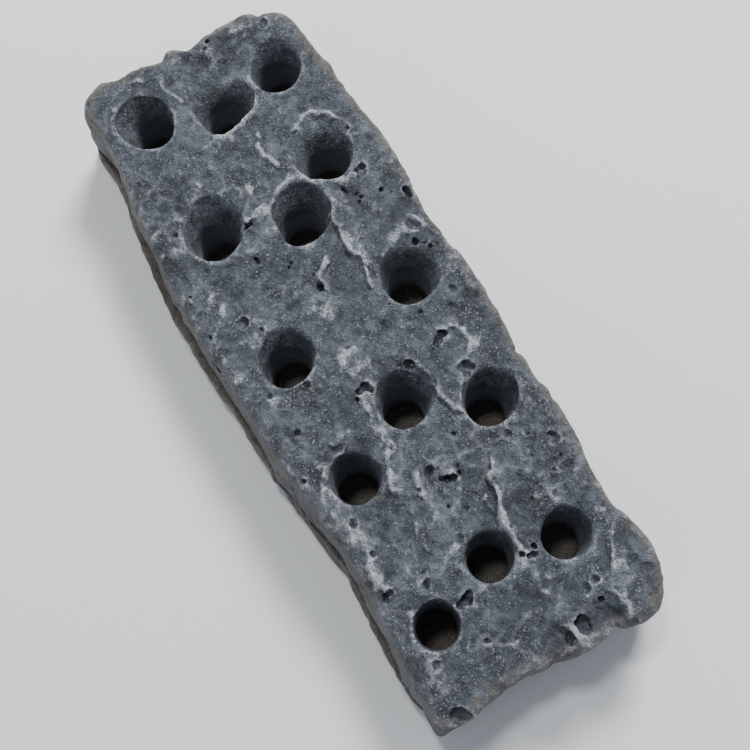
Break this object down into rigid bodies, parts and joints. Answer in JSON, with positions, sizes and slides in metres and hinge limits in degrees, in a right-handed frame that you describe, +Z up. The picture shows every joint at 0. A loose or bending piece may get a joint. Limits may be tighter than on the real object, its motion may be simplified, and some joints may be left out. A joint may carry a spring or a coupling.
{
  "type": "perforated aquarium stone",
  "caption": "Rough slab of dark cast stone for an aquarium or pond, with staggered round blind sockets for plug stems and air lines.",
  "frame": {"origin": "middle of the slab's footprint, on the face it rests on", "axes": "+X along the slab towards its sharper end, +Y across it, +Z up out of the pitted face"},
  "size_m": [0.2032, 0.076, 0.033],
  "materials": {
    "face_stone": "matte",
    "base_stone": "matte"
  },
  "bodies": {
    "root": {"base_lift": "base_stone", "face_lift": "face_stone"}
  },
  "joints": []
}
